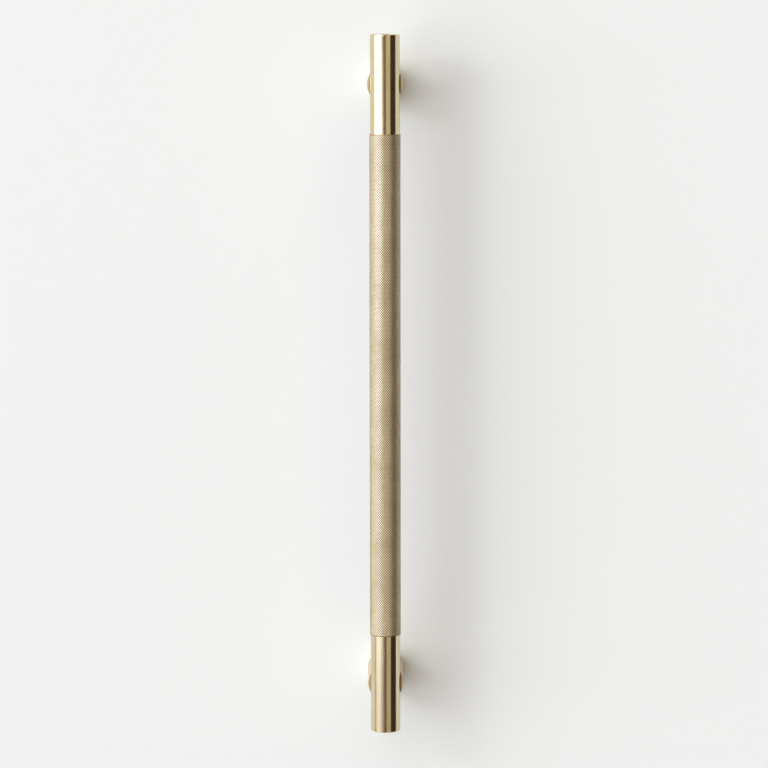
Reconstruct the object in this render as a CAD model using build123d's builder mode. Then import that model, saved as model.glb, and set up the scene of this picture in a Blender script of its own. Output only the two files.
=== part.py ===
from build123d import *
import os

# Knurled bar pull for a door: one turned bar held in the saddles of two turned posts.
# Millimetres, +Z up along the bar. The origin lies on the door's face, midway between
# the two door screws. +Y points into the door, so the bar stands out towards -Y.

# Door fixing
hole_spacing = 256.0  # centre to centre of the two door screws
door_screw_diameter = 4.0  # M4, drawn plain at the thread's outer diameter
door_screw_depth = 14.0
hole_mouth_chamfer = 0.4

# Bar
bar_diameter = 12.7  # half-inch rod, left plain at both ends
bar_standoff = 33.4  # from the door's face to the bar's axis
bar_end_chamfer = 0.5
plain_end_length = 42.0  # each plain end is centred on its post
knurl_height = 0.3  # how far the knurled grip stands above the plain rod

# Posts
post_diameter = 15.4
post_edge_chamfer = 0.3
saddle_wrap = 1.0  # how far the post's front face lies in front of the bar's axis
saddle_clearance = 0.05

# Grub screws that hold the bar in its saddles, reached through the door-screw holes
grub_diameter = 5.0  # M5, drawn plain at the thread's outer diameter
grub_length = 10.0
grub_point_diameter = 3.5  # a plain dog point
grub_point_length = 2.5
grub_end_chamfer = 0.4
grub_bite = 1.8  # how deep the point sits in the bar
thread_clearance = 0.02
hex_key = 2.5
hex_depth = 3.0

# Sizes that follow
bar_radius = bar_diameter / 2
bar_length = hole_spacing + plain_end_length
knurl_radius = bar_radius + knurl_height
knurl_half_length = bar_length / 2 - plain_end_length
bar_axis = Axis((0, -bar_standoff, 0), (0, 0, 1))
grub_radius = grub_diameter / 2
grub_point_radius = grub_point_diameter / 2
bar_back = bar_radius - bar_standoff  # where the plain ends' backs lie along Y

# On the door's face behind each post, looking into the door
door_planes = {
    "upper": Plane(origin=(0, 0, hole_spacing / 2), x_dir=(1, 0, 0), z_dir=(0, 1, 0)),
    "lower": Plane(origin=(0, 0, -hole_spacing / 2), x_dir=(1, 0, 0), z_dir=(0, 1, 0)),
}

os.makedirs("parts", exist_ok=True)

# Bar: the rod, its thicker knurled grip and a drilled seat for each grub screw's point
with BuildPart() as bar:
    with BuildSketch(Plane.XZ.offset(bar_standoff)):
        with BuildLine():
            Polyline(
                (0, 0),
                (knurl_radius, 0),
                (knurl_radius, knurl_half_length - knurl_height),
                (bar_radius, knurl_half_length),
                (bar_radius, bar_length / 2),
                (0, bar_length / 2),
                close=True,
            )
        make_face()
    revolve(axis=bar_axis)
    chamfer(bar.edges().group_by(Axis.Z)[-1], bar_end_chamfer)
    mirror(about=Plane.XY)
    with Locations(*[plane.offset(bar_back) for plane in door_planes.values()]):
        Hole(grub_point_radius + thread_clearance, grub_bite + thread_clearance)
bar.part.label = "bar"
export_step(bar.part, "parts/bar.step")

# Posts: turned pegs with a saddle across the front and one stepped, tapped hole behind it
for place, door_plane in door_planes.items():
    with BuildPart() as post:
        with BuildSketch(door_plane):
            Circle(post_diameter / 2)
        extrude(amount=-(bar_standoff + saddle_wrap))
        chamfer(post.edges().filter_by(GeomType.CIRCLE), post_edge_chamfer)
        with BuildSketch(Plane.XY):
            with Locations((0, -bar_standoff)):
                Circle(bar_radius + saddle_clearance)
        extrude(amount=bar_length / 2, both=True, mode=Mode.SUBTRACT)
        with Locations(door_plane):
            CounterSinkHole(
                door_screw_diameter / 2,
                door_screw_diameter / 2 + hole_mouth_chamfer,
                door_screw_depth,
                90,
            )
        with BuildSketch(door_plane.offset(-door_screw_depth)):
            Circle(grub_radius + thread_clearance)
        extrude(amount=door_screw_depth - bar_standoff, mode=Mode.SUBTRACT)
    post.part.label = f"{place}_post"
    export_step(post.part, f"parts/{place}_post.step")

# One grub screw, standing on its point, with a hexagon socket in its far end
with BuildPart() as grub:
    with BuildSketch(Plane.XZ):
        with BuildLine():
            Polyline(
                (0, 0),
                (grub_point_radius, 0),
                (grub_point_radius, grub_point_length),
                (grub_radius, grub_point_length),
                (grub_radius, grub_length),
                (0, grub_length),
                close=True,
            )
        make_face()
    revolve(axis=Axis.Z)
    chamfer(grub.edges().group_by(Axis.Z)[-1], grub_end_chamfer)
    with BuildSketch(Plane.XY.offset(grub_length)):
        RegularPolygon(hex_key / 2, 6, major_radius=False)
    extrude(amount=-hex_depth, mode=Mode.SUBTRACT)

# Both grub screws, driven home into the bar's seats
with BuildPart() as grub_screws:
    with Locations(*[plane.offset(bar_back - grub_bite) for plane in door_planes.values()]):
        add(grub.part)
grub_screws.part.label = "grub_screws"
export_step(grub_screws.part, "parts/grub_screws.step")
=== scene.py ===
"""Knurled brass bar pull for a door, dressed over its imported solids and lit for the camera."""

import logging
import math
from dataclasses import dataclass
from enum import Enum
from typing import Any, Callable

import bmesh
import bpy
from bpy.types import ColorRamp, Material, Node, NodeSocket, NodeTree, Object
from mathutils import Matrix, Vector

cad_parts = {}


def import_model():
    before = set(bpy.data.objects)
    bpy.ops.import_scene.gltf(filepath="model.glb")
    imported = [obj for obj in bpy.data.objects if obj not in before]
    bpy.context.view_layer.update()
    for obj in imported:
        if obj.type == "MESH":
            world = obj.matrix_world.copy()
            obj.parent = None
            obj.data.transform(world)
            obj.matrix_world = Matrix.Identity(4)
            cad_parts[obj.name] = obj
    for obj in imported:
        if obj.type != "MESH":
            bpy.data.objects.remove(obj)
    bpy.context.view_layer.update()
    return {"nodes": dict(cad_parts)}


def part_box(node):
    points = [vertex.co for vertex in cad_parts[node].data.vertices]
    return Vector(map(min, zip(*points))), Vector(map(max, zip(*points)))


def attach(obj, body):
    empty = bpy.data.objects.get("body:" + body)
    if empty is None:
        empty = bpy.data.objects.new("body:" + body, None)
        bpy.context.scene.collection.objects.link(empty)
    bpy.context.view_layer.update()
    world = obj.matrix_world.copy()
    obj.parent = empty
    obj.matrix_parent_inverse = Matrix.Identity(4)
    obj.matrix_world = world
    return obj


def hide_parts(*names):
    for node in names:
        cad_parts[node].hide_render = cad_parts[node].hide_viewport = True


MM = 0.001
TINY = 1e-6
# Faces that meet at a smaller angle are shaded as one smooth surface.
SMOOTH_ANGLE = math.radians(25.0)
# Height of an equal-sided triangle, in radii of the circle round it.
TRIANGLE_HEIGHT = 1.5
LOG = logging.getLogger("door_pull")


class Element(Enum):
    """What a selection in edit mode picks out."""

    VERT = "VERT"
    EDGE = "EDGE"


class LatheAxis(Enum):
    """The axis that a turned piece spun about in the lathe."""

    ALONG_BAR = "Z"
    ALONG_POST = "Y"

    @property
    def across(self) -> tuple[float, float, float]:
        """A mask that keeps only the two directions across the axis."""
        return (1.0, 1.0, 0.0) if self is LatheAxis.ALONG_BAR else (1.0, 0.0, 1.0)


def to_linear(code: str, level: float = 1.0) -> tuple[float, float, float, float]:
    """Turn an sRGB hex colour into linear light.

    Args:
        code: Colour such as "#DFD0B3".
        level: How many times brighter than written.

    Returns:
        Linear red, green and blue times the level, and an alpha of 1.
    """
    channels = [int(code[start : start + 2], 16) / 255 for start in (1, 3, 5)]
    linear = [c / 12.92 if c <= 0.04045 else ((c + 0.055) / 1.055) ** 2.4 for c in channels]
    red, green, blue = (level * value for value in linear)
    return (red, green, blue, 1.0)


def add_node(
    tree: NodeTree,
    kind: str,
    inputs: dict[str | int, Any] | None = None,
    **settings: Any,
) -> Node:
    """Add a node with its settings, and fill or link its inputs.

    Args:
        tree: Node tree that gets the node.
        kind: Type name of the node.
        inputs: For each input's name or number, a value or the socket that feeds it.
        **settings: The node's own properties.

    Returns:
        The new node.
    """
    node = tree.nodes.new(kind)
    for name, value in settings.items():
        setattr(node, name, value)
    for name, value in (inputs or {}).items():
        if isinstance(value, NodeSocket):
            tree.links.new(value, node.inputs[name])
        else:
            node.inputs[name].default_value = value
    return node


def new_material(name: str) -> tuple[Material, NodeTree]:
    """Make an empty node material.

    Args:
        name: Name of the material.

    Returns:
        The material and its node tree.
    """
    material = bpy.data.materials.new(name)
    material.use_nodes = True
    material.node_tree.nodes.clear()
    return material, material.node_tree


def measure_from_axis(
    tree: NodeTree, centre: tuple[float, float, float], axis: LatheAxis
) -> tuple[NodeSocket, NodeSocket]:
    """Measure the places on a piece from an axis.

    Args:
        tree: Node tree of the material.
        centre: A point on the axis.
        axis: Direction of the axis.

    Returns:
        The place as seen from that point, and its distance from the axis.
    """
    place = add_node(tree, "ShaderNodeTexCoord").outputs["Object"]
    local = add_node(
        tree, "ShaderNodeVectorMath", {0: place, 1: centre}, operation="SUBTRACT"
    ).outputs[0]
    across = add_node(
        tree, "ShaderNodeVectorMath", {0: local, 1: axis.across}, operation="MULTIPLY"
    ).outputs[0]
    radius = add_node(
        tree, "ShaderNodeVectorMath", {0: across}, operation="LENGTH"
    ).outputs["Value"]
    return local, radius


def fill_ramp(ramp: ColorRamp, stops: list[tuple[float, tuple[float, ...]]]) -> None:
    """Give a colour ramp its stops.

    Args:
        ramp: Ramp with the two stops that every new one has.
        stops: Place from 0 to 1 and linear colour of each stop, in order.
    """
    for own, (place, colour) in zip(ramp.elements, (stops[0], stops[-1])):
        own.position = place
        own.color = colour
    for place, colour in stops[1:-1]:
        ramp.elements.new(place).color = colour


def pick(piece: Object, element: Element, test: Callable[[Any], bool]) -> int:
    """Select, in edit mode, every element of one kind that passes a test.

    Args:
        piece: Object that is in edit mode.
        element: Kind of element to select.
        test: Says whether an element is wanted, by its place.

    Returns:
        How many elements are selected.
    """
    bpy.ops.mesh.select_mode(type=element.value)
    bpy.ops.mesh.select_all(action="DESELECT")
    mesh = bmesh.from_edit_mesh(piece.data)
    items = mesh.verts if element is Element.VERT else mesh.edges
    wanted = [item for item in items if test(item)]
    for item in wanted:
        item.select_set(True)
    mesh.select_flush_mode()
    bmesh.update_edit_mesh(piece.data)
    return len(wanted)


def make_active(piece: Object) -> None:
    """Leave one object selected and active."""
    bpy.ops.object.select_all(action="DESELECT")
    piece.select_set(True)
    bpy.context.view_layer.objects.active = piece


def settle(piece: Object) -> None:
    """Move an object's place, turn and scale into its mesh."""
    make_active(piece)
    bpy.ops.object.transform_apply(location=True, rotation=True, scale=True)


def apply_modifier(piece: Object, kind: str, **settings: Any) -> None:
    """Add a modifier to a piece and apply it.

    Args:
        piece: Object that gets the modifier.
        kind: Type name of the modifier.
        **settings: The modifier's properties.
    """
    make_active(piece)
    modifier = piece.modifiers.new(kind.lower(), kind)
    for name, value in settings.items():
        setattr(modifier, name, value)
    bpy.ops.object.modifier_apply(modifier=modifier.name)


def cut_out(piece: Object, tool: Object) -> None:
    """Cut a closed tool's space out of a piece, and delete the tool.

    Args:
        piece: Closed mesh that is cut.
        tool: Closed mesh that cuts it.
    """
    apply_modifier(piece, "BOOLEAN", object=tool, operation="DIFFERENCE", solver="MANIFOLD")
    bpy.data.objects.remove(tool, do_unlink=True)
    # The cut can leave corners on top of each other
    bpy.ops.object.mode_set(mode="EDIT")
    bpy.ops.mesh.select_all(action="SELECT")
    bpy.ops.mesh.remove_doubles(threshold=TINY)
    bpy.ops.object.mode_set(mode="OBJECT")


def add_rod(
    name: str, radii: tuple[float, float], span: tuple[float, float], height: float, sides: int
) -> Object:
    """Add a closed round tool that lies along Y, straight or tapered.

    Args:
        name: Name of the object.
        radii: Radius at the rear end, nearest the door, and at the front end.
        span: Y of the rear end and of the front end.
        height: Z of its axis.
        sides: How many sides it has.

    Returns:
        The tool, at the origin with its place in its mesh.
    """
    rear, front = span
    bpy.ops.mesh.primitive_cone_add(
        vertices=sides,
        radius1=radii[0],
        radius2=radii[1],
        depth=rear - front,
        location=(0.0, (rear + front) / 2, height),
        rotation=(math.pi / 2, 0.0, 0.0),
    )
    tool = bpy.context.object
    tool.name = name
    settle(tool)
    return tool


def hand_over(piece: Object, name: str, node: str) -> None:
    """Smooth and name a finished piece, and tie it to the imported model.

    Args:
        piece: Finished object.
        name: Its name.
        node: CAD node that it stands for.
    """
    make_active(piece)
    bpy.ops.object.shade_smooth_by_angle(angle=SMOOTH_ANGLE)
    piece.name = name
    piece.data.name = name
    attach(piece, "root")
    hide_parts(node)
    LOG.info("%s: %d faces, stands for %s", name, len(piece.data.polygons), node)


@dataclass(frozen=True, kw_only=True)
class TurnedBrass:
    """Brass turned in a lathe and polished along its rings.

    The eye sees sharp bands of the room along the piece, pale gold where they are bright,
    with hair-fine rings across them, slightly deeper, duller patches where it has aged, and
    paler, shinier metal along its rims, where cloths and hands rub.
    """

    name: str
    axis: LatheAxis
    centre: tuple[float, float, float]
    half_length: float
    rim_radius: float
    roughness: float
    metal: str = "#DED0AF"
    aged: str = "#D0B988"
    worn: str = "#F2ECD8"
    # Colour of the painted shade along a saddle seam, drawn as dark non-metal.
    seam_shade: str = "#7A5828"
    # How far the rubbing reaches from a rim, and between which values of the patches it falls
    # from full to least.
    wear_reach: float = 0.9 * MM
    wear_patches: tuple[float, float] = (0.3, 0.65)
    least_wear: float = 0.35
    # Between which values of the patches ageing rises from none to most.
    age_patches: tuple[float, float] = (0.42, 0.72)
    most_age: float = 0.45
    # Roughness of clean patches, dull patches and rubbed rims, as shares of the whole.
    dull_patches: tuple[float, float] = (0.3, 0.7)
    clean_share: float = 0.88
    dull_share: float = 1.18
    rubbed_share: float = 0.75
    # Feed marks are about 0.05 mm apart. They are drawn 8 times coarser, so that they show.
    ring_spacing: float = 0.4 * MM
    ring_depth: float = 0.0025 * MM
    ring_detail: float = 2.0
    patch_size: float = 11.0 * MM
    patch_detail: float = 4.0
    patch_gain: float = 0.6

    def _rim_wear(
        self,
        tree: NodeTree,
        along: NodeSocket,
        radius: NodeSocket,
        patches: NodeSocket,
    ) -> NodeSocket:
        """Find the rubbed metal near both rims.

        Args:
            tree: Node tree of the material.
            along: Distance from the middle along the lathe axis.
            radius: Distance from the lathe axis.
            patches: Noise that breaks the wear up.

        Returns:
            Share of worn metal from 0 to 1.
        """
        from_middle = add_node(tree, "ShaderNodeMath", {0: along}, operation="ABSOLUTE").outputs[0]
        share = add_node(
            tree,
            "ShaderNodeMapRange",
            {
                "Value": patches,
                "From Min": self.wear_patches[0],
                "From Max": self.wear_patches[1],
                "To Min": 1.0,
                "To Max": self.least_wear,
            },
        ).outputs[0]
        for distance, rim in ((from_middle, self.half_length), (radius, self.rim_radius)):
            near = add_node(
                tree,
                "ShaderNodeMapRange",
                {"Value": distance, "From Min": rim - self.wear_reach, "From Max": rim},
                interpolation_type="SMOOTHSTEP",
            ).outputs[0]
            share = add_node(
                tree, "ShaderNodeMath", {0: share, 1: near}, operation="MULTIPLY"
            ).outputs[0]
        return share

    def _seam_shade_share(self, tree: NodeTree) -> NodeSocket | float:
        """Share of painted seam shade, which an open surface has none of.

        Args:
            tree: Node tree of the material.

        Returns:
            A share from 0 to 1.
        """
        return 0.0

    def build(self) -> Material:
        """Make the material.

        Returns:
            The material, laid out round the piece's lathe axis.
        """
        material, tree = new_material(self.name)
        local, radius = measure_from_axis(tree, self.centre, self.axis)
        along = add_node(tree, "ShaderNodeSeparateXYZ", {0: local}).outputs[self.axis.value]
        # Along the side the rings follow the length, and on an end face the radius
        feed = add_node(tree, "ShaderNodeMath", {0: radius, 1: along}, operation="ADD").outputs[0]
        rings = add_node(
            tree,
            "ShaderNodeTexNoise",
            {"W": feed, "Scale": 1 / self.ring_spacing, "Detail": self.ring_detail},
            noise_dimensions="1D",
        ).outputs["Fac"]
        patches = add_node(
            tree,
            "ShaderNodeTexNoise",
            {
                "Vector": local,
                "Scale": 1 / self.patch_size,
                "Detail": self.patch_detail,
                "Roughness": self.patch_gain,
            },
        ).outputs["Fac"]
        age = add_node(
            tree,
            "ShaderNodeMapRange",
            {
                "Value": patches,
                "From Min": self.age_patches[0],
                "From Max": self.age_patches[1],
                "To Max": self.most_age,
            },
        ).outputs[0]
        wear = self._rim_wear(tree, along, radius, patches)
        # Painted shade along the saddle seam; an open surface has none
        seam_shade = self._seam_shade_share(tree)
        colour = to_linear(self.metal)
        for share, other in ((age, self.aged), (wear, self.worn), (seam_shade, self.seam_shade)):
            colour = add_node(
                tree, "ShaderNodeMix", {0: share, 6: colour, 7: to_linear(other)}, data_type="RGBA"
            ).outputs[2]
        dullness = add_node(
            tree,
            "ShaderNodeMapRange",
            {
                "Value": patches,
                "From Min": self.dull_patches[0],
                "From Max": self.dull_patches[1],
                "To Min": self.roughness * self.clean_share,
                "To Max": self.roughness * self.dull_share,
            },
        ).outputs[0]
        dullness = add_node(
            tree, "ShaderNodeMix", {0: wear, 2: dullness, 3: self.roughness * self.rubbed_share}
        ).outputs[0]
        marks = add_node(
            tree, "ShaderNodeBump", {"Height": rings, "Distance": self.ring_depth}
        ).outputs[0]
        # Where the painted seam shade lies, the surface is drawn as non-metal
        metal_share = add_node(tree, "ShaderNodeMath", {0: 1.0, 1: seam_shade}, operation="SUBTRACT").outputs[0]
        shader = add_node(
            tree,
            "ShaderNodeBsdfPrincipled",
            {"Base Color": colour, "Metallic": metal_share, "Roughness": dullness, "Normal": marks},
        ).outputs[0]
        add_node(tree, "ShaderNodeOutputMaterial", {"Surface": shader})
        return material


@dataclass(frozen=True, kw_only=True)
class SaddleBrass(TurnedBrass):
    """Turned brass of a post, with a saddle that the bar lies in.

    The eye sees the same metal with a thin brown line of painted shade along the bar's right side,
    where the bar shades the post from the light on the left, and almost none on the left.
    """

    bar_axis_y: float
    saddle_radius: float
    # How far the painted shade line reaches, and how strong it is on the shaded right and on the
    # lit left.
    seam_reach: float = 1.1 * MM
    seam_strength: float = 0.9
    lit_side_shade: float = 0.06

    def _seam_shade_share(self, tree: NodeTree) -> NodeSocket | float:
        """Share of painted shade, which lies along the saddle and is strongest on the bar's right
        side.

        Args:
            tree: Node tree of the material.

        Returns:
            A share from 0 to 1.
        """
        on_bar = (0.0, self.bar_axis_y, 0.0)
        local, from_bar = measure_from_axis(tree, on_bar, LatheAxis.ALONG_BAR)
        sideways = add_node(tree, "ShaderNodeSeparateXYZ", {0: local}).outputs["X"]
        # The painted shade is strong on the right, where the bar shades the post from the left
        # light, and faint on the left
        strength = add_node(
            tree,
            "ShaderNodeMapRange",
            {
                "Value": sideways,
                "From Min": -self.saddle_radius,
                "From Max": self.saddle_radius,
                "To Min": self.lit_side_shade,
                "To Max": self.seam_strength,
            },
        ).outputs[0]
        return add_node(
            tree,
            "ShaderNodeMapRange",
            {
                "Value": from_bar,
                "From Min": self.saddle_radius,
                "From Max": self.saddle_radius + self.seam_reach,
                "To Min": strength,
                "To Max": 0.0,
            },
            interpolation_type="SMOOTHSTEP",
        ).outputs[0]


@dataclass(frozen=True)
class KnurledBrass:
    """Brass with a rolled diamond knurl.

    The eye sees thousands of small bright points on worn crests, over duller, browner grooves.
    The near-white crests are polishing wear with a painted highlight, and the brown grooves are
    tarnish with painted shade.
    """

    name: str
    centre: tuple[float, float, float]
    root_radius: float
    crest_radius: float
    # Crest colour: polishing wear, whitened as a painted highlight. Groove colour: tarnish,
    # darkened as painted shade.
    crest: str = "#F8F3DF"
    groove: str = "#8E733F"
    crest_roughness: float = 0.34
    groove_roughness: float = 0.42
    # The pale crest colour, polishing wear with a painted highlight, reaches this far down the
    # diamonds' sides, as a share of their height.
    polish_and_painted_light_reach: float = 0.5
    # Rolling leaves flow marks of about 0.05 mm. They are drawn 4 times coarser, so that they show.
    flow_size: float = 0.2 * MM
    flow_depth: float = 0.006 * MM
    flow_detail: float = 1.0
    patch_size: float = 14.0 * MM
    patch_detail: float = 4.0
    patch_gain: float = 0.6
    # Between which values of the patches the crest colour and its painted highlight rise, and from
    # which share to which.
    polish_and_painted_light_patches: tuple[float, float] = (0.3, 0.7)
    polish_and_painted_light_shares: tuple[float, float] = (0.75, 1.1)

    def build(self) -> Material:
        """Make the material.

        Returns:
            The material, with colour and polish by the distance from the bar's axis.
        """
        material, tree = new_material(self.name)
        local, radius = measure_from_axis(tree, self.centre, LatheAxis.ALONG_BAR)
        depth = self.polish_and_painted_light_reach * (self.crest_radius - self.root_radius)
        rise = add_node(
            tree,
            "ShaderNodeMapRange",
            {"Value": radius, "From Min": self.crest_radius - depth, "From Max": self.crest_radius},
            interpolation_type="SMOOTHSTEP",
        ).outputs[0]
        patches = add_node(
            tree,
            "ShaderNodeTexNoise",
            {
                "Vector": local,
                "Scale": 1 / self.patch_size,
                "Detail": self.patch_detail,
                "Roughness": self.patch_gain,
            },
        ).outputs["Fac"]
        wear = add_node(
            tree,
            "ShaderNodeMapRange",
            {
                "Value": patches,
                "From Min": self.polish_and_painted_light_patches[0],
                "From Max": self.polish_and_painted_light_patches[1],
                "To Min": self.polish_and_painted_light_shares[0],
                "To Max": self.polish_and_painted_light_shares[1],
            },
        ).outputs[0]
        polish_and_painted_light = add_node(
            tree, "ShaderNodeMath", {0: rise, 1: wear}, operation="MULTIPLY", use_clamp=True
        ).outputs[0]
        # Near-white crests carry a painted highlight and brown grooves a painted shade, over
        # polishing wear and tarnish
        colour = add_node(
            tree,
            "ShaderNodeMix",
            {0: polish_and_painted_light, 6: to_linear(self.groove), 7: to_linear(self.crest)},
            data_type="RGBA",
        ).outputs[2]
        dullness = add_node(
            tree,
            "ShaderNodeMapRange",
            {"Value": polish_and_painted_light, "To Min": self.groove_roughness, "To Max": self.crest_roughness},
        ).outputs[0]
        flow = add_node(
            tree,
            "ShaderNodeTexNoise",
            {"Vector": local, "Scale": 1 / self.flow_size, "Detail": self.flow_detail},
        ).outputs["Fac"]
        marks = add_node(
            tree, "ShaderNodeBump", {"Height": flow, "Distance": self.flow_depth}
        ).outputs[0]
        shader = add_node(
            tree,
            "ShaderNodeBsdfPrincipled",
            {"Base Color": colour, "Metallic": 1.0, "Roughness": dullness, "Normal": marks},
        ).outputs[0]
        add_node(tree, "ShaderNodeOutputMaterial", {"Surface": shader})
        return material


@dataclass(frozen=True)
class BlackOxideSteel:
    """Alloy steel blackened in a hot salt bath and oiled.

    The eye sees a near-black skin with a low, uneven gloss, and grey where the turning has
    rubbed the outside of the screws.
    """

    post_height: float
    outer_radius: float
    name: str = "black_oxide_steel"
    skin: str = "#262628"
    rubbed: str = "#6A6A6C"
    rub_reach: float = 0.3 * MM
    grain_size: float = 0.6 * MM
    grain_depth: float = 0.006 * MM
    grain_detail: float = 3.0
    # Between which values of the grain the roughness rises, and from which to which.
    grain_range: tuple[float, float] = (0.3, 0.7)
    roughness: tuple[float, float] = (0.38, 0.55)

    def build(self) -> Material:
        """Make the material.

        Returns:
            The material.
        """
        material, tree = new_material(self.name)
        place = add_node(tree, "ShaderNodeTexCoord").outputs["Object"]
        grain = add_node(
            tree,
            "ShaderNodeTexNoise",
            {"Vector": place, "Scale": 1 / self.grain_size, "Detail": self.grain_detail},
        ).outputs["Fac"]
        # Both screws lie along Y at the same distance above and below the middle
        parts = add_node(tree, "ShaderNodeSeparateXYZ", {0: place}).outputs
        height = add_node(tree, "ShaderNodeMath", {0: parts["Z"]}, operation="ABSOLUTE").outputs[0]
        off_axis = add_node(
            tree, "ShaderNodeMath", {0: height, 1: self.post_height}, operation="SUBTRACT"
        ).outputs[0]
        across = add_node(tree, "ShaderNodeCombineXYZ", {"X": parts["X"], "Z": off_axis}).outputs[0]
        radius = add_node(
            tree, "ShaderNodeVectorMath", {0: across}, operation="LENGTH"
        ).outputs["Value"]
        outside = add_node(
            tree,
            "ShaderNodeMapRange",
            {
                "Value": radius,
                "From Min": self.outer_radius - self.rub_reach,
                "From Max": self.outer_radius,
            },
        ).outputs[0]
        rub = add_node(
            tree, "ShaderNodeMath", {0: outside, 1: grain}, operation="MULTIPLY"
        ).outputs[0]
        colour = add_node(
            tree,
            "ShaderNodeMix",
            {0: rub, 6: to_linear(self.skin), 7: to_linear(self.rubbed)},
            data_type="RGBA",
        ).outputs[2]
        dullness = add_node(
            tree,
            "ShaderNodeMapRange",
            {
                "Value": grain,
                "From Min": self.grain_range[0],
                "From Max": self.grain_range[1],
                "To Min": self.roughness[0],
                "To Max": self.roughness[1],
            },
        ).outputs[0]
        skin = add_node(
            tree, "ShaderNodeBump", {"Height": grain, "Distance": self.grain_depth}
        ).outputs[0]
        shader = add_node(
            tree,
            "ShaderNodeBsdfPrincipled",
            {"Base Color": colour, "Metallic": 1.0, "Roughness": dullness, "Normal": skin},
        ).outputs[0]
        add_node(tree, "ShaderNodeOutputMaterial", {"Surface": shader})
        return material


@dataclass(frozen=True)
class PaintedBoard:
    """Matt paint on a board, seen from its front only.

    The eye sees an even off-white without gloss. From behind the board lets the view through.
    """

    name: str = "matt_paint_on_board"
    paint: str = "#E9ECED"
    roughness: float = 0.9
    gloss: float = 0.0

    def build(self) -> Material:
        """Make the material.

        Returns:
            The material.
        """
        material, tree = new_material(self.name)
        paint = add_node(
            tree,
            "ShaderNodeBsdfPrincipled",
            {
                "Base Color": to_linear(self.paint),
                "Roughness": self.roughness,
                "Specular IOR Level": self.gloss,
            },
        ).outputs[0]
        clear = add_node(tree, "ShaderNodeBsdfTransparent").outputs[0]
        behind = add_node(tree, "ShaderNodeNewGeometry").outputs["Backfacing"]
        shader = add_node(tree, "ShaderNodeMixShader", {0: behind, 1: paint, 2: clear}).outputs[0]
        add_node(tree, "ShaderNodeOutputMaterial", {"Surface": shader})
        return material


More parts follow.
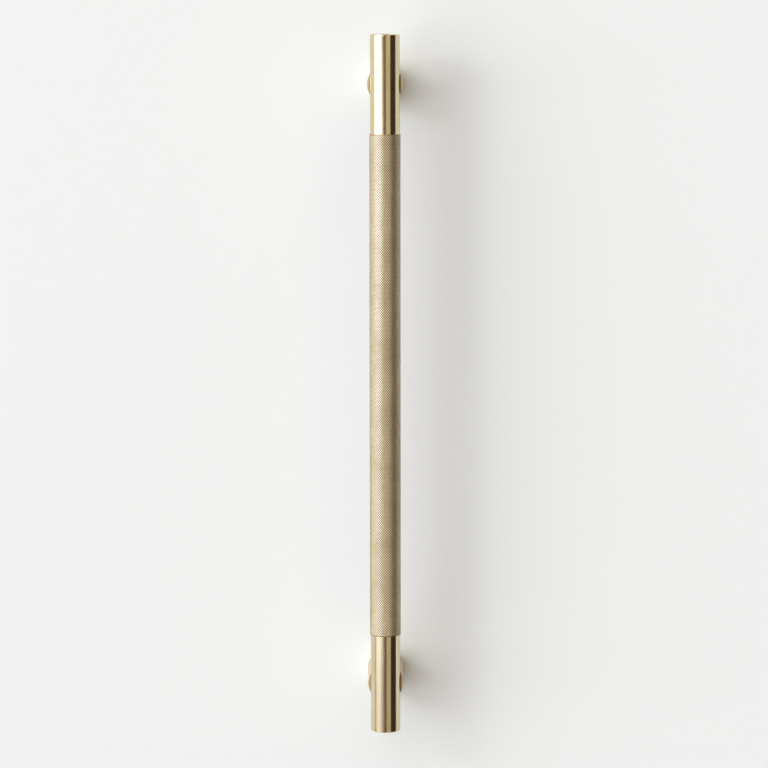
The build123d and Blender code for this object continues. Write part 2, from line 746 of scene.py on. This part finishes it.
@dataclass
class KnurledBar:
    """The rod: a diamond-knurled grip between two plain ends that lie in the posts."""

    axis_y: float
    half_length: float
    crest_radius: float
    post_height: float
    plain_radius: float = 6.35 * MM
    plain_length: float = 42.0 * MM
    end_chamfer: float = 0.5 * MM
    edge_round: float = 0.08 * MM
    rim_support: float = 0.3 * MM
    plain_roughness: float = 0.15
    # How many diamonds go round the grip and along it.
    starts: int = 40
    turns_of_pitch: int = 198
    groove_angle: float = math.radians(114.0)
    groove_depth: float = 0.116 * MM
    # How near two rings' corners lie to be welded.
    weld: float = 0.01 * MM
    # How long the shoulders are, as a share of their height.
    shoulder_slope: float = 0.4
    seat_radius: float = 1.77 * MM
    seat_depth: float = 1.82 * MM
    seat_sides: int = 40

    @classmethod
    def from_frame(cls) -> "KnurledBar":
        """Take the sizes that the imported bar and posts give.

        Returns:
            The bar.
        """
        low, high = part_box("bar")
        post_low, post_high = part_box("upper_post")
        return cls(
            axis_y=(low.y + high.y) / 2,
            half_length=high.z,
            crest_radius=high.x,
            post_height=(post_low.z + post_high.z) / 2,
        )

    @property
    def centre(self) -> tuple[float, float, float]:
        """The middle of the bar's axis."""
        return (0.0, self.axis_y, 0.0)

    @property
    def root_radius(self) -> float:
        """Radius of the grooves' floors."""
        return self.crest_radius - self.groove_depth

    @property
    def shoulder(self) -> float:
        """Length of the slope from the grooves' floors down to the rod."""
        return self.shoulder_slope * (self.root_radius - self.plain_radius)

    @property
    def diamonds_half(self) -> float:
        """Half the length that the diamonds cover."""
        return self.half_length - self.plain_length - self.shoulder

    @property
    def pitch(self) -> float:
        """Distance along the bar from one diamond to the next."""
        return 2 * self.diamonds_half / self.turns_of_pitch

    @property
    def point_radius(self) -> float:
        """Radius that the diamonds' points would reach if they weren't flattened."""
        across = math.pi * self.root_radius / self.starts
        along = self.pitch / 2
        run = across * along / math.hypot(across, along)
        return self.root_radius + run / math.tan(self.groove_angle / 2)

    def _distance(self, place: Vector) -> float:
        """Distance of a place from the bar's axis."""
        return math.hypot(place.x, place.y - self.axis_y)

    def _is_point(self, place: Vector) -> bool:
        """Whether a place on the ring's grid is the point of a diamond."""
        column = round(math.atan2(place.x, place.y - self.axis_y) / (math.pi / self.starts))
        row = round((place.z + self.diamonds_half) / (self.pitch / 2))
        return (column + row) % 2 == 0

    def _knurl_ring(self) -> Object:
        """Model one ring of diamonds at the grip's lower end.

        Returns:
            The ring, two rows of half diamonds high and open at both ends.
        """
        bpy.ops.mesh.primitive_cylinder_add(
            vertices=2 * self.starts,
            radius=self.root_radius,
            depth=self.pitch,
            end_fill_type="NOTHING",
            location=(0.0, self.axis_y, -self.diamonds_half + self.pitch / 2),
        )
        ring = bpy.context.object
        settle(ring)
        grow = self.point_radius / self.root_radius
        bpy.ops.object.mode_set(mode="EDIT")
        pick(ring, Element.EDGE, lambda e: abs(e.verts[0].co.z - e.verts[1].co.z) > TINY)
        bpy.ops.mesh.subdivide(number_cuts=1)
        pick(ring, Element.VERT, lambda v: self._is_point(v.co))
        bpy.ops.transform.resize(value=(grow, grow, 1.0), center_override=self.centre)
        # Each cell folds along its groove, so that four faces meet in every point
        bpy.ops.mesh.select_all(action="SELECT")
        bpy.ops.mesh.quads_convert_to_tris(quad_method="SHORTEST_DIAGONAL")
        bpy.ops.object.mode_set(mode="OBJECT")
        return ring

    def _flatten_points(self, grip: Object) -> None:
        """Run the grip's end rows down to the rod, and flatten the diamonds' points.

        Args:
            grip: The stacked rings of diamonds.
        """
        middle = (self.root_radius + self.point_radius) / 2
        shrink = self.root_radius / self.point_radius
        share = (self.point_radius - self.crest_radius) / (self.point_radius - self.root_radius)
        bpy.ops.object.mode_set(mode="EDIT")
        pick(
            grip,
            Element.VERT,
            lambda v: abs(v.co.z) > self.diamonds_half - TINY and self._distance(v.co) > middle,
        )
        bpy.ops.transform.resize(value=(shrink, shrink, 1.0), center_override=self.centre)
        pick(grip, Element.VERT, lambda v: self._distance(v.co) > middle)
        bpy.ops.mesh.bevel(affect="VERTICES", offset_type="PERCENT", offset_pct=100 * share)
        bpy.ops.object.mode_set(mode="OBJECT")

    def _plain_ends(self, bar: Object) -> None:
        """Draw the grip's open ends out into chamfered, closed rod ends.

        Args:
            bar: The knurled grip.
        """
        # Length of each step and how much its far ring shrinks: shoulder, rod, a short stretch
        # that keeps the rod's shading straight up to its rim, chamfer
        steps = (
            (self.shoulder, self.plain_radius / self.root_radius),
            (self.plain_length - self.rim_support - self.end_chamfer, 1.0),
            (self.rim_support, 1.0),
            (self.end_chamfer, 1.0 - self.end_chamfer / self.plain_radius),
        )
        bpy.ops.object.mode_set(mode="EDIT")
        for side in (-1, 1):
            rim = side * self.diamonds_half
            pick(bar, Element.EDGE, lambda e: all(abs(v.co.z - rim) < TINY for v in e.verts))
            for length, shrink in steps:
                bpy.ops.mesh.extrude_edges_move(
                    TRANSFORM_OT_translate={"value": (0.0, 0.0, side * length)}
                )
                bpy.ops.transform.resize(value=(shrink, shrink, 1.0), center_override=self.centre)
            bpy.ops.mesh.edge_face_add()
        rims = (self.half_length, self.half_length - self.end_chamfer)
        pick(
            bar,
            Element.EDGE,
            lambda e: any(all(abs(abs(v.co.z) - rim) < TINY for v in e.verts) for rim in rims),
        )
        bpy.ops.mesh.bevel(offset=self.edge_round, segments=2, affect="EDGES")
        bpy.ops.mesh.select_all(action="SELECT")
        bpy.ops.mesh.normals_make_consistent(inside=False)
        bpy.ops.object.mode_set(mode="OBJECT")

    def build(self) -> Object:
        """Model the whole bar.

        Returns:
            The bar as one closed mesh.
        """
        bar = self._knurl_ring()
        apply_modifier(
            bar,
            "ARRAY",
            count=self.turns_of_pitch,
            use_relative_offset=False,
            use_constant_offset=True,
            constant_offset_displace=(0.0, 0.0, self.pitch),
            use_merge_vertices=True,
            merge_threshold=self.weld,
        )
        self._flatten_points(bar)
        self._plain_ends(bar)
        back = self.axis_y + self.plain_radius
        for height in (self.post_height, -self.post_height):
            seat = add_rod(
                "seat_drill",
                (self.seat_radius, self.seat_radius),
                (back + self.seat_depth, back - self.seat_depth),
                height,
                self.seat_sides,
            )
            cut_out(bar, seat)
        return bar

    def dress(self, bar: Object) -> None:
        """Give the plain ends and the grip their finishes.

        Args:
            bar: The modelled bar.
        """
        plain = TurnedBrass(
            name="turned_brass_bar",
            axis=LatheAxis.ALONG_BAR,
            centre=self.centre,
            half_length=self.half_length,
            rim_radius=self.plain_radius,
            roughness=self.plain_roughness,
        )
        knurl = KnurledBrass("knurled_brass", self.centre, self.root_radius, self.crest_radius)
        bar.data.materials.clear()
        for finish in (plain, knurl):
            bar.data.materials.append(finish.build())
        for face in bar.data.polygons:
            face.material_index = int(abs(face.center.z) < self.diamonds_half)
        hand_over(bar, "knurled_bar", "bar")


@dataclass
class SaddlePost:
    """One turned post: a saddle for the bar in front, a tapped hole for the door screw behind."""

    node: str
    height: float
    radius: float
    length: float
    bar_axis_y: float
    rim_chamfer: float = 0.3 * MM
    saddle_chamfer: float = 0.12 * MM
    saddle_radius: float = 6.4 * MM
    saddle_reach: float = 20.0 * MM
    screw_core_radius: float = 1.65 * MM
    screw_radius: float = 2.0 * MM
    screw_pitch: float = 0.7 * MM
    screw_depth: float = 14.0 * MM
    thread_turns: int = 17
    # Height of the tap's three-sided profile, in depths of the thread.
    tap_reach: float = 1.4
    mouth_chamfer: float = 0.4 * MM
    grub_hole_radius: float = 2.52 * MM
    # How far a tool runs past the face that it cuts.
    overcut: float = 0.2 * MM
    # How far off the ends of an edge may lie.
    slack_x: float = 0.02 * MM
    slack_y: float = 0.01 * MM
    sides: int = 160
    hole_sides: int = 48
    roughness: float = 0.44

    @classmethod
    def from_frame(cls, node: str) -> "SaddlePost":
        """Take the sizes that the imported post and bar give.

        Args:
            node: CAD node of the post.

        Returns:
            The post.
        """
        low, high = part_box(node)
        bar_low, bar_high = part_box("bar")
        return cls(
            node=node,
            height=(low.z + high.z) / 2,
            radius=high.x,
            length=high.y - low.y,
            bar_axis_y=(bar_low.y + bar_high.y) / 2,
        )

    def _tap(self) -> Object:
        """Model the screw tap that cuts the thread.

        Returns:
            A closed three-sided coil round the post's axis.
        """
        profile = self.tap_reach * (self.screw_radius - self.screw_core_radius)
        reach = profile / TRIANGLE_HEIGHT
        bpy.ops.mesh.primitive_circle_add(
            vertices=3,
            radius=reach,
            location=(self.screw_radius - reach, self.screw_pitch / 2, 0.0),
            rotation=(0.0, 0.0, -math.pi / 2),
        )
        tap = bpy.context.object
        settle(tap)
        apply_modifier(
            tap,
            "SCREW",
            axis="Y",
            angle=-2 * math.pi,
            screw_offset=-self.screw_pitch,
            iterations=self.thread_turns,
            steps=self.hole_sides,
            render_steps=self.hole_sides,
            use_merge_vertices=True,
            merge_threshold=TINY,
        )
        bpy.ops.object.mode_set(mode="EDIT")
        bpy.ops.mesh.select_all(action="SELECT")
        bpy.ops.mesh.fill_holes(sides=3)
        bpy.ops.mesh.select_all(action="SELECT")
        bpy.ops.mesh.normals_make_consistent(inside=False)
        bpy.ops.object.mode_set(mode="OBJECT")
        # Half a step of turn keeps its corners off those of the drilled hole
        tap.rotation_euler = (0.0, math.pi / self.hole_sides, 0.0)
        tap.location = (0.0, 0.0, self.height)
        settle(tap)
        return tap

    def _break_saddle_edges(self, post: Object) -> None:
        """Chamfer the two straight edges where the saddle comes out of the front face.

        Args:
            post: The post with its saddle cut.
        """
        wrap = self.length + self.bar_axis_y
        edge_x = math.sqrt(self.saddle_radius**2 - wrap**2)

        def on_edge(place: Vector) -> bool:
            """Whether a place lies on one of the two edges."""
            on_face = abs(place.y + self.length) < self.slack_y
            return on_face and abs(abs(place.x) - edge_x) < self.slack_x

        bpy.ops.object.mode_set(mode="EDIT")
        found = pick(post, Element.EDGE, lambda e: all(on_edge(v.co) for v in e.verts))
        bpy.ops.mesh.bevel(offset=self.saddle_chamfer, segments=1, affect="EDGES")
        bpy.ops.object.mode_set(mode="OBJECT")
        LOG.info("%s: %d saddle edges broken", self.node, found)

    def build(self) -> Object:
        """Model the post.

        Returns:
            The post as one closed mesh.
        """
        bpy.ops.mesh.primitive_cylinder_add(
            vertices=self.sides,
            radius=self.radius,
            depth=self.length,
            location=(0.0, -self.length / 2, self.height),
            rotation=(math.pi / 2, 0.0, 0.0),
        )
        post = bpy.context.object
        settle(post)
        bpy.ops.object.mode_set(mode="EDIT")
        pick(post, Element.EDGE, lambda e: abs(e.verts[0].co.y - e.verts[1].co.y) < TINY)
        bpy.ops.mesh.bevel(offset=self.rim_chamfer, segments=1, affect="EDGES")
        bpy.ops.object.mode_set(mode="OBJECT")

        bpy.ops.mesh.primitive_cylinder_add(
            vertices=self.sides,
            radius=self.saddle_radius,
            depth=2 * self.saddle_reach,
            location=(0.0, self.bar_axis_y, self.height),
        )
        saddle = bpy.context.object
        settle(saddle)
        cut_out(post, saddle)
        self._break_saddle_edges(post)

        over = self.overcut
        core = self.screw_core_radius
        mouth = self.screw_radius + self.mouth_chamfer
        countersink_depth = mouth - core
        # Radii of each tool's rear and front end, and Y of both
        tools = (
            ("tap_drill", (core, core), (over, -self.screw_depth - over)),
            (
                "grub_drill",
                (self.grub_hole_radius, self.grub_hole_radius),
                (-self.screw_depth, self.bar_axis_y),
            ),
            ("countersink", (mouth + over, core - over), (over, -countersink_depth - over)),
        )
        for name, radii, span in tools:
            cut_out(post, add_rod(name, radii, span, self.height, self.hole_sides))
        cut_out(post, self._tap())
        return post

    def dress(self, post: Object) -> None:
        """Give the post its finish.

        Args:
            post: The modelled post.
        """
        finish = SaddleBrass(
            name=f"turned_brass_{self.node}",
            axis=LatheAxis.ALONG_POST,
            centre=(0.0, -self.length / 2, self.height),
            half_length=self.length / 2,
            rim_radius=self.radius,
            roughness=self.roughness,
            bar_axis_y=self.bar_axis_y,
            saddle_radius=self.saddle_radius,
        )
        post.data.materials.clear()
        post.data.materials.append(finish.build())
        hand_over(post, f"turned_{self.node}", self.node)


@dataclass
class GrubScrews:
    """The two socket screws that lock the bar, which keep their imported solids."""

    node: str = "grub_screws"

    def dress(self, nodes: dict[str, Object]) -> None:
        """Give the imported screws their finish.

        Args:
            nodes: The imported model's objects by name.
        """
        screws = nodes[self.node]
        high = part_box(self.node)[1]
        finish = BlackOxideSteel(post_height=high.z - high.x, outer_radius=high.x).build()
        if not screws.material_slots:
            screws.data.materials.append(finish)
        for slot in screws.material_slots:
            slot.material = finish
        LOG.info("%s: kept as packed, dressed in %s", self.node, finish.name)


@dataclass(frozen=True)
class Band:
    """One upright strip of the studio round the object, dark unless it has a tint and a level.

    It lies between two angles in degrees from straight ahead of the bar, positive to the right.
    """

    start: float
    end: float
    tint: str = "#000000"
    level: float = 0.0


@dataclass(frozen=True)
class Glow:
    """One light of the studio: its bands from left to right, and their light by height.

    A height is the sine of the angle above the horizon, and goes with a share from 0 to 1.
    """

    bands: tuple[Band, ...]
    heights: tuple[tuple[float, float], ...]


@dataclass
class Studio:
    """A pale board behind the pull, soft light round it, and the camera."""

    post_height: float
    post_radius: float
    board_size: float = 12.0
    # The board stands this far behind the feet, with a window behind each that is this much
    # smaller all round, so that the tapped holes show from behind.
    board_gap: float = 0.05 * MM
    foot_window: float = 0.5 * MM
    window_sides: int = 64
    # Light from behind, the dim room round the camera, a pale screen, a dark flag, and light
    # from behind again.
    room: Glow = Glow(
        (
            Band(-180.0, -100.0, "#FFFFFF", 0.6),
            Band(-96.0, 7.0, "#FFE0C2", 0.2),
            Band(10.0, 40.0, "#FFF0CD", 0.7),
            Band(43.0, 90.0, "#FFE0C2", 0.055),
            Band(93.0, 180.0, "#FFFFFF", 0.6),
        ),
        ((-1.0, 0.5), (-0.21, 0.8), (-0.02, 1.0), (0.25, 1.0), (0.45, 0.0)),
    )
    # A wide diffuser on the left at the bar's own height, which goes on dimmer below it.
    diffuser: Glow = Glow(
        (
            Band(-180.0, -99.0),
            Band(-95.0, -90.0, "#F4F6FF", 0.8),
            Band(-70.0, -47.0, "#F4F6FF", 4.2),
            Band(-35.0, -34.0, "#F4F6FF", 1.9),
            Band(-26.0, -25.0, "#F4F6FF", 1.0),
            Band(-14.0, 180.0),
        ),
        (
            (-0.95, 0.0),
            (-0.8, 0.5),
            (-0.45, 0.5),
            (-0.33, 0.2),
            (-0.24, 0.19),
            (-0.19, 0.21),
            (-0.14, 0.7),
            (-0.06, 1.0),
            (0.06, 1.0),
            (0.12, 0.0),
        ),
    )
    # A softbox above the diffuser, more to the front.
    softbox: Glow = Glow(
        (
            Band(-180.0, -72.0),
            Band(-64.0, -32.0, "#ECF5F6", 3.7),
            Band(-22.0, -10.0, "#EAF3F4", 1.9),
            Band(0.0, 180.0),
        ),
        ((0.06, 0.0), (0.12, 1.0), (0.36, 1.0), (0.5, 0.0)),
    )
    # A low panel towards the front, which the grip mirrors and the plain ends hardly do.
    panel: Glow = Glow(
        (Band(-180.0, -50.0), Band(-38.0, -15.0, "#EAF3FF", 4.8), Band(-5.0, 180.0)),
        ((-0.155, 0.0), (-0.135, 1.0), (-0.09, 1.0), (-0.07, 0.0)),
    )
    # Light from high up, cool and strong on the left, and a little warm light on the right.
    ceiling: Glow = Glow(
        (
            Band(-180.0, -130.0, "#F0F4FF", 1.0),
            Band(-88.0, -46.0, "#F2F5FF", 2.2),
            Band(-30.0, -6.0, "#FFFBF2", 1.8),
            Band(8.0, 180.0, "#FFC890", 0.38),
        ),
        ((0.25, 0.0), (0.45, 1.0), (0.78, 1.0), (0.86, 0.0)),
    )
    # A wide ring of light high above, which the bar doesn't mirror, dark in its middle.
    overhead: Glow = Glow(
        (Band(-180.0, 180.0, "#F3F3FA", 2.55),),
        ((0.78, 0.0), (0.86, 1.0), (0.92, 1.0), (0.95, 0.0)),
    )
    # The strength that a full ramp stands for, above every band's level.
    surround_peak: float = 6.0
    # What the camera sees past the board's edge.
    backdrop_tone: str = "#F0F0EF"
    key_place: tuple[float, float, float] = (-1.11, -1.11, 0.53)
    key_size: float = 0.35
    key_power: float = 2.5
    # The camera has a long lens and looks down a little.
    camera_place: tuple[float, float, float] = (-0.31 * MM, -1350.4 * MM, 153.0 * MM)
    camera_pitch: float = math.radians(83.419)
    camera_roll: float = math.radians(0.07)
    lens: float = 146.2
    sensor: float = 36.0

    @classmethod
    def from_frame(cls) -> "Studio":
        """Take the posts' places, which the board has windows for.

        Returns:
            The studio.
        """
        low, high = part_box("upper_post")
        return cls(post_height=(low.z + high.z) / 2, post_radius=high.x)

    def add_board(self) -> None:
        """Set up the board that the posts stand on, with a window behind each foot."""
        bpy.ops.mesh.primitive_plane_add(
            size=self.board_size,
            location=(0.0, self.board_gap, 0.0),
            rotation=(math.pi / 2, 0.0, 0.0),
        )
        board = bpy.context.object
        board.name = "pale_board"
        settle(board)
        bpy.ops.object.mode_set(mode="EDIT")
        bpy.ops.mesh.select_all(action="SELECT")
        bpy.ops.mesh.delete(type="ONLY_FACE")
        for height in (self.post_height, -self.post_height):
            bpy.ops.mesh.primitive_circle_add(
                vertices=self.window_sides,
                radius=self.post_radius - self.foot_window,
                location=(0.0, self.board_gap, height),
                rotation=(math.pi / 2, 0.0, 0.0),
            )
        bpy.ops.mesh.select_all(action="SELECT")
        bpy.ops.mesh.fill(use_beauty=True)
        bpy.ops.object.mode_set(mode="OBJECT")
        if sum(face.normal.y * face.area for face in board.data.polygons) > 0:
            board.data.flip_normals()
        board.data.materials.append(PaintedBoard().build())

    def add_surround(self) -> None:
        """Light the scene from all round, with every glow by its bands and heights."""
        world = bpy.data.worlds.new("studio_surround")
        world.use_nodes = True
        tree = world.node_tree
        tree.nodes.clear()
        bpy.context.scene.world = world
        direction = add_node(tree, "ShaderNodeTexCoord").outputs["Generated"]
        parts = add_node(tree, "ShaderNodeSeparateXYZ", {0: direction}).outputs
        ahead = add_node(
            tree, "ShaderNodeMath", {0: parts["Y"], 1: -1.0}, operation="MULTIPLY"
        ).outputs[0]
        angle = add_node(
            tree, "ShaderNodeMath", {0: parts["X"], 1: ahead}, operation="ARCTAN2"
        ).outputs[0]
        # The angle and the sine of the height run from 0 to 1 along the ramps
        turn, rise = (
            add_node(
                tree, "ShaderNodeMapRange", {"Value": value, "From Min": -limit, "From Max": limit}
            ).outputs[0]
            for value, limit in ((angle, math.pi), (parts["Z"], 1.0))
        )
        total = to_linear("#000000")
        glows = (self.room, self.diffuser, self.softbox, self.panel, self.ceiling, self.overhead)
        for glow in glows:
            strips = add_node(tree, "ShaderNodeValToRGB", {"Fac": turn})
            fill_ramp(
                strips.color_ramp,
                [
                    ((edge + 180.0) / 360.0, to_linear(band.tint, band.level / self.surround_peak))
                    for band in glow.bands
                    for edge in (band.start, band.end)
                ],
            )
            shares = add_node(tree, "ShaderNodeValToRGB", {"Fac": rise})
            fill_ramp(
                shares.color_ramp,
                [((sine + 1.0) / 2.0, (share, share, share, 1.0)) for sine, share in glow.heights],
            )
            colour = add_node(
                tree,
                "ShaderNodeMix",
                {0: 1.0, 6: strips.outputs[0], 7: shares.outputs[0]},
                data_type="RGBA",
                blend_type="MULTIPLY",
            ).outputs[2]
            total = add_node(
                tree,
                "ShaderNodeMix",
                {0: 1.0, 6: total, 7: colour},
                data_type="RGBA",
                blend_type="ADD",
            ).outputs[2]
        lit = add_node(
            tree, "ShaderNodeBackground", {"Color": total, "Strength": self.surround_peak}
        ).outputs[0]
        plain = add_node(
            tree, "ShaderNodeBackground", {"Color": to_linear(self.backdrop_tone)}
        ).outputs[0]
        seen = add_node(tree, "ShaderNodeLightPath").outputs["Is Camera Ray"]
        mixed = add_node(tree, "ShaderNodeMixShader", {0: seen, 1: lit, 2: plain}).outputs[0]
        add_node(tree, "ShaderNodeOutputWorld", {"Surface": mixed})

    def add_key(self) -> None:
        """Hang one small soft lamp at the upper left, for the bar's shadow."""
        bpy.ops.object.light_add(type="AREA", location=self.key_place)
        lamp = bpy.context.object
        lamp.name = "key_lamp"
        lamp.data.shape = "DISK"
        lamp.data.size = self.key_size
        lamp.data.energy = self.key_power
        lamp.rotation_euler = Vector(self.key_place).to_track_quat("Z", "Y").to_euler()
        lamp.visible_camera = False

    def add_camera(self) -> None:
        """Stand the camera in front of the pull, above its middle, and tilt it down."""
        bpy.ops.object.camera_add(
            location=self.camera_place,
            rotation=(self.camera_pitch, self.camera_roll, 0.0),
        )
        camera = bpy.context.object
        camera.name = "studio_camera"
        camera.data.sensor_width = self.sensor
        camera.data.lens = self.lens
        bpy.context.scene.camera = camera

    def build(self) -> None:
        """Set up the board, the light and the camera."""
        self.add_board()
        self.add_surround()
        self.add_key()
        self.add_camera()
        bpy.context.scene.view_settings.view_transform = "Standard"


def main() -> None:
    """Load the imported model, build and dress each piece, and set up the studio."""
    logging.basicConfig(level=logging.INFO, format="%(name)s: %(message)s")
    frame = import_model()
    bar = KnurledBar.from_frame()
    bar.dress(bar.build())
    for node in ("upper_post", "lower_post"):
        post = SaddlePost.from_frame(node)
        post.dress(post.build())
    GrubScrews().dress(frame["nodes"])
    Studio.from_frame().build()


if __name__ == "__main__":
    main()
